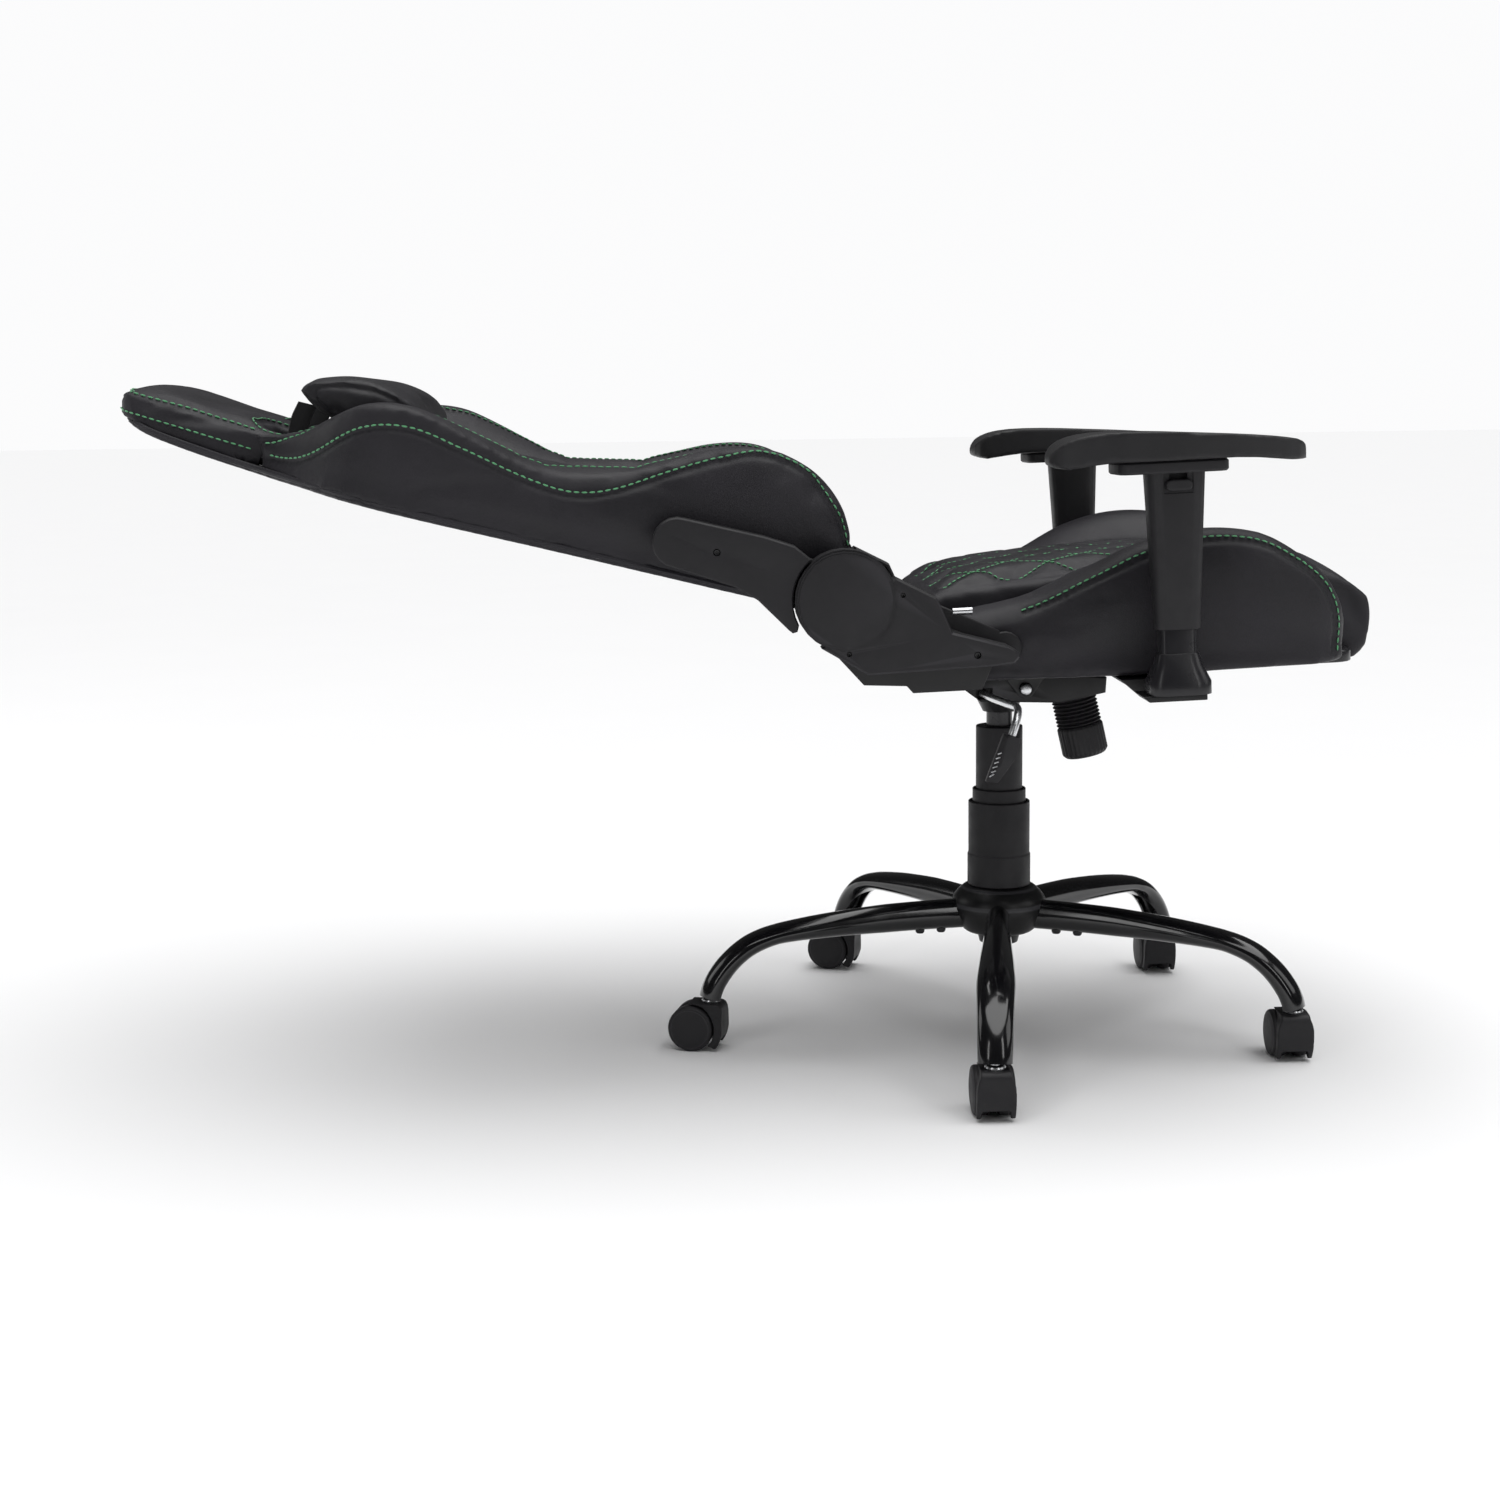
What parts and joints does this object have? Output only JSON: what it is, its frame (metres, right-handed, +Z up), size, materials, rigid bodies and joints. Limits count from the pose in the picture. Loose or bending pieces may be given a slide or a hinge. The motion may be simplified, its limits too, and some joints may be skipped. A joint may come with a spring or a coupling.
{
  "type": "gaming chair",
  "caption": "Racing-style gaming chair laid back flat: bucket seat, folding backrest with neck pillow, height-adjustable arms, gas lift, steel star base on twin-wheel casters.",
  "frame": {"origin": "centre of the bounding box at floor level", "axes": "+Z up; +Y towards the rear, where the laid-back headrest points; -Y is the way a sitter faces; +X to the sitter's left"},
  "size_m": [0.6572, 1.2685, 0.7206],
  "materials": {
    "leather": "grained, semi-matte black",
    "pillow_leather": "grained, semi-matte black",
    "gloss_black_steel": "gloss black powder coat",
    "satin_steel": "satin black coat",
    "zinc_steel": "bright zinc",
    "black_plastic": "fine-textured matte black",
    "wheel_nylon": "matte black nylon",
    "arm_pad_foam": "soft-touch matte black",
    "webbing": "woven black nylon"
  },
  "bodies": {
    "base": {"hub": "gloss_black_steel", "leg_1": "gloss_black_steel", "leg_2": "gloss_black_steel", "leg_3": "gloss_black_steel", "leg_4": "gloss_black_steel", "leg_5": "gloss_black_steel", "gas_column": "satin_steel", "cover_tube_lower": "black_plastic"},
    "caster_1": {"caster_1_hood": "black_plastic"},
    "caster_1_wheels": {"caster_1_wheels": "wheel_nylon"},
    "caster_2": {"caster_2_hood": "black_plastic"},
    "caster_2_wheels": {"caster_2_wheels": "wheel_nylon"},
    "caster_3": {"caster_3_hood": "black_plastic"},
    "caster_3_wheels": {"caster_3_wheels": "wheel_nylon"},
    "caster_4": {"caster_4_hood": "black_plastic"},
    "caster_4_wheels": {"caster_4_wheels": "wheel_nylon"},
    "caster_5": {"caster_5_hood": "black_plastic"},
    "caster_5_wheels": {"caster_5_wheels": "wheel_nylon"},
    "cover_ring": {"cover_tube_middle": "black_plastic"},
    "lift": {"gas_piston": "satin_steel", "cover_tube_upper": "black_plastic"},
    "mechanism": {"tilt_housing": "gloss_black_steel", "tilt_pin": "zinc_steel"},
    "tension_knob": {"tension_knob": "black_plastic"},
    "height_lever": {"height_lever_rod": "satin_steel", "height_lever_paddle": "black_plastic"},
    "seat": {"tilt_upper_plate": "gloss_black_steel", "seat_pan": "satin_steel", "seat_cushion": "leather", "seat_bolster_right": "leather", "seat_bolster_left": "leather", "arm_bracket_right": "gloss_black_steel", "arm_post_right": "satin_steel", "recliner_seat_bracket_right": "gloss_black_steel", "recliner_seat_cover_right": "black_plastic", "arm_bracket_left": "gloss_black_steel", "arm_post_left": "satin_steel", "recliner_seat_bracket_left": "gloss_black_steel", "recliner_seat_cover_left": "black_plastic"},
    "arm_right": {"arm_sleeve_right": "black_plastic", "arm_pad_right": "arm_pad_foam"},
    "arm_button_right": {"arm_button_right": "black_plastic"},
    "arm_left": {"arm_sleeve_left": "black_plastic", "arm_pad_left": "arm_pad_foam"},
    "arm_button_left": {"arm_button_left": "black_plastic"},
    "recline_release": {"recliner_shaft": "satin_steel", "recline_lever": "black_plastic"},
    "backrest": {"recliner_back_bracket_right": "gloss_black_steel", "recliner_back_cover_right": "black_plastic", "back_bolster_right": "leather", "recliner_back_bracket_left": "gloss_black_steel", "recliner_back_cover_left": "black_plastic", "back_bolster_left": "leather", "back_cushion": "leather", "back_rear_cover": "leather", "back_frame": "satin_steel", "neck_pillow": "pillow_leather", "pillow_strap": "webbing", "strap_buckle": "black_plastic"}
  },
  "joints": [
    {"name": "caster_1_swivel", "type": "hinge", "parent": "base", "child": "caster_1", "pos_m": [-0.31375, -0.22482, 0.076], "axis": [0, 0, 1], "continuous": true},
    {"name": "caster_1_roll", "type": "hinge", "parent": "caster_1", "child": "caster_1_wheels", "pos_m": [-0.29375, -0.22482, 0.02469], "axis": [0, 1, 0], "continuous": true},
    {"name": "caster_2_swivel", "type": "hinge", "parent": "base", "child": "caster_2", "pos_m": [-0.13923, -0.56338, 0.076], "axis": [0, 0, 1], "continuous": true},
    {"name": "caster_2_roll", "type": "hinge", "parent": "caster_2", "child": "caster_2_wheels", "pos_m": [-0.11923, -0.56338, 0.02469], "axis": [0, 1, 0], "continuous": true},
    {"name": "caster_3_swivel", "type": "hinge", "parent": "base", "child": "caster_3", "pos_m": [0.23668, -0.50202, 0.076], "axis": [0, 0, 1], "continuous": true},
    {"name": "caster_3_roll", "type": "hinge", "parent": "caster_3", "child": "caster_3_wheels", "pos_m": [0.25667, -0.50132, 0.02469], "axis": [-0.0349, 0.9994, 0], "continuous": true},
    {"name": "caster_4_swivel", "type": "hinge", "parent": "base", "child": "caster_4", "pos_m": [0.29449, -0.12555, 0.076], "axis": [0, 0, 1], "continuous": true},
    {"name": "caster_4_roll", "type": "hinge", "parent": "caster_4", "child": "caster_4_wheels", "pos_m": [0.30067, -0.10653, 0.02469], "axis": [-0.9511, 0.309, 0], "continuous": true},
    {"name": "caster_5_swivel", "type": "hinge", "parent": "base", "child": "caster_5", "pos_m": [-0.04569, 0.04577, 0.076], "axis": [0, 0, 1], "continuous": true},
    {"name": "caster_5_roll", "type": "hinge", "parent": "caster_5", "child": "caster_5_wheels", "pos_m": [-0.04085, 0.06517, 0.02469], "axis": [-0.9703, 0.2419, 0], "continuous": true},
    {"name": "lift_slide", "type": "slide", "parent": "base", "child": "lift", "axis": [0, 0, 1], "range_m": [-0.07, 0.025]},
    {"name": "cover_ring_slide", "type": "slide", "parent": "base", "child": "cover_ring", "axis": [0, 0, 1], "range_m": [-0.035, 0.0125]},
    {"name": "seat_swivel", "type": "hinge", "parent": "lift", "child": "mechanism", "pos_m": [0.0065, -0.274, 0.38], "axis": [0, 0, 1], "continuous": true},
    {"name": "tension_knob_turn", "type": "hinge", "parent": "mechanism", "child": "tension_knob", "pos_m": [0.0065, -0.3545, 0.3733], "axis": [0, -0.2181, -0.9759], "range_deg": [-360, 720]},
    {"name": "height_lever_pull", "type": "hinge", "parent": "mechanism", "child": "height_lever", "pos_m": [-0.0435, -0.25, 0.3815], "axis": [0, 1, 0], "range_deg": [0, 5], "stiffness_Nm_per_rad": 1.5, "springref_deg": -3.44},
    {"name": "seat_tilt", "type": "hinge", "parent": "mechanism", "child": "seat", "pos_m": [0.0065, -0.293, 0.388], "axis": [-1, 0, 0], "range_deg": [0, 8], "stiffness_Nm_per_rad": 260, "springref_deg": -20.05},
    {"name": "arm_right_height", "type": "slide", "parent": "seat", "child": "arm_right", "axis": [0, 0.0349, 0.9994], "range_m": [-0.022, 0.045]},
    {"name": "arm_button_right_press", "type": "slide", "parent": "arm_right", "child": "arm_button_right", "axis": [0, 0.0349, 0.9994], "range_m": [0, 0.005], "stiffness_N_per_m": 300, "springref_m": -0.003},
    {"name": "arm_left_height", "type": "slide", "parent": "seat", "child": "arm_left", "axis": [0, 0.0349, 0.9994], "range_m": [-0.022, 0.045]},
    {"name": "arm_button_left_press", "type": "slide", "parent": "arm_left", "child": "arm_button_left", "axis": [0, 0.0349, 0.9994], "range_m": [0, 0.005], "stiffness_N_per_m": 300, "springref_m": -0.003},
    {"name": "recline_lever_pull", "type": "hinge", "parent": "seat", "child": "recline_release", "pos_m": [0.0065, -0.08805, 0.50196], "axis": [-1, 0, 0], "range_deg": [0, 20], "stiffness_Nm_per_rad": 2.5, "springref_deg": -28.65},
    {"name": "backrest_recline", "type": "hinge", "parent": "seat", "child": "backrest", "pos_m": [0.0065, -0.08805, 0.50196], "axis": [1, 0, 0], "range_deg": [0, 75]}
  ],
  "couplings": [
    {"joint": "cover_ring_slide", "follows": "lift_slide", "ratio": 0.5}
  ]
}
